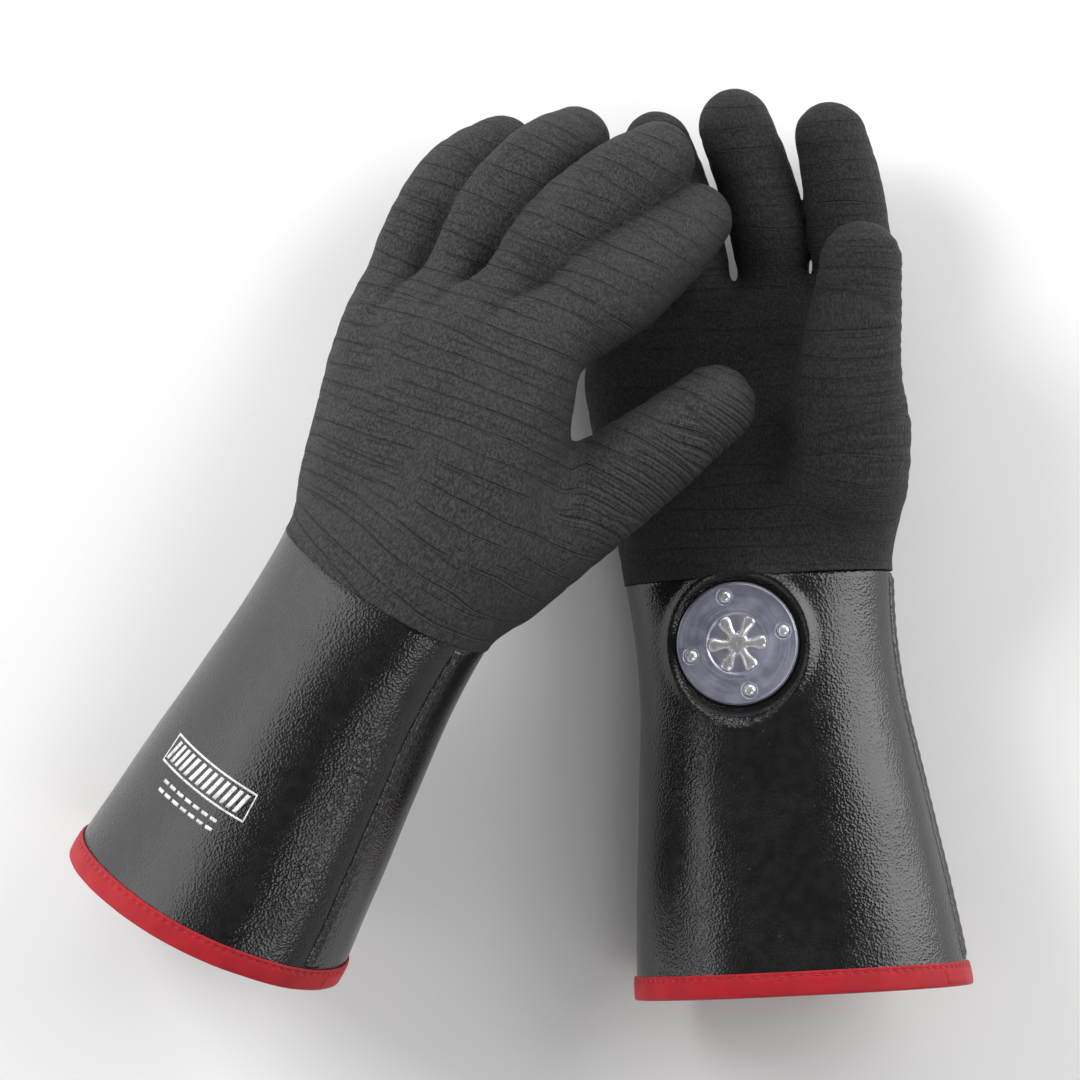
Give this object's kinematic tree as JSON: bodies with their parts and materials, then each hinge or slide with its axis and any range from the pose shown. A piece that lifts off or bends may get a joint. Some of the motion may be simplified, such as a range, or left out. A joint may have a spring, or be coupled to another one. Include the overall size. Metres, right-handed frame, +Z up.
{
  "type": "insulated gauntlet gloves",
  "caption": "Pair of black rubber-coated gauntlet gloves with crinkled hands, smooth flared cuffs, red bound hems and a round riveted wrist badge, one glove resting on the other.",
  "frame": {"origin": "centre of the pair's footprint on the table, under the bounding box", "axes": "+Z up from the table, +Y towards the fingertips, +X towards the right glove's thumb side"},
  "size_m": [0.349, 0.3543, 0.1349],
  "materials": {
    "hand_rubber": "matte, crinkled",
    "cuff_rubber": "glossy, finely grained",
    "liner_cotton": "knitted, matte",
    "binding_tape": "satin woven tape",
    "red_thread": "twisted thread",
    "gasket_rubber": "matte",
    "satin_metal": "satin",
    "polished_metal": "polished",
    "print_ink": "printed, slightly raised"
  },
  "bodies": {
    "right_glove": {"right_hand_coat": "hand_rubber", "right_gauntlet_coat": "cuff_rubber", "right_hand_liner": "liner_cotton", "right_cuff_liner": "liner_cotton", "right_hem_binding": "binding_tape", "right_hem_stitching": "red_thread", "right_binding_join": "binding_tape", "right_side_seam": "cuff_rubber", "right_badge_gasket": "gasket_rubber", "right_badge_plate": "satin_metal", "right_badge_emblem": "polished_metal", "right_badge_rivets": "polished_metal", "right_badge_backing_plate": "satin_metal", "right_cuff_print": "print_ink"},
    "left_glove": {"left_hand_coat": "hand_rubber", "left_gauntlet_coat": "cuff_rubber", "left_hand_liner": "liner_cotton", "left_cuff_liner": "liner_cotton", "left_hem_binding": "binding_tape", "left_hem_stitching": "red_thread", "left_binding_join": "binding_tape", "left_side_seam": "cuff_rubber", "left_badge_gasket": "gasket_rubber", "left_badge_plate": "satin_metal", "left_badge_emblem": "polished_metal", "left_badge_rivets": "polished_metal", "left_badge_backing_plate": "satin_metal", "left_cuff_print": "print_ink"}
  },
  "joints": [
    {"name": "left_glove_lift", "type": "slide", "parent": "right_glove", "child": "left_glove", "axis": [0, 0, 1], "range_m": [0, 0.25]}
  ]
}
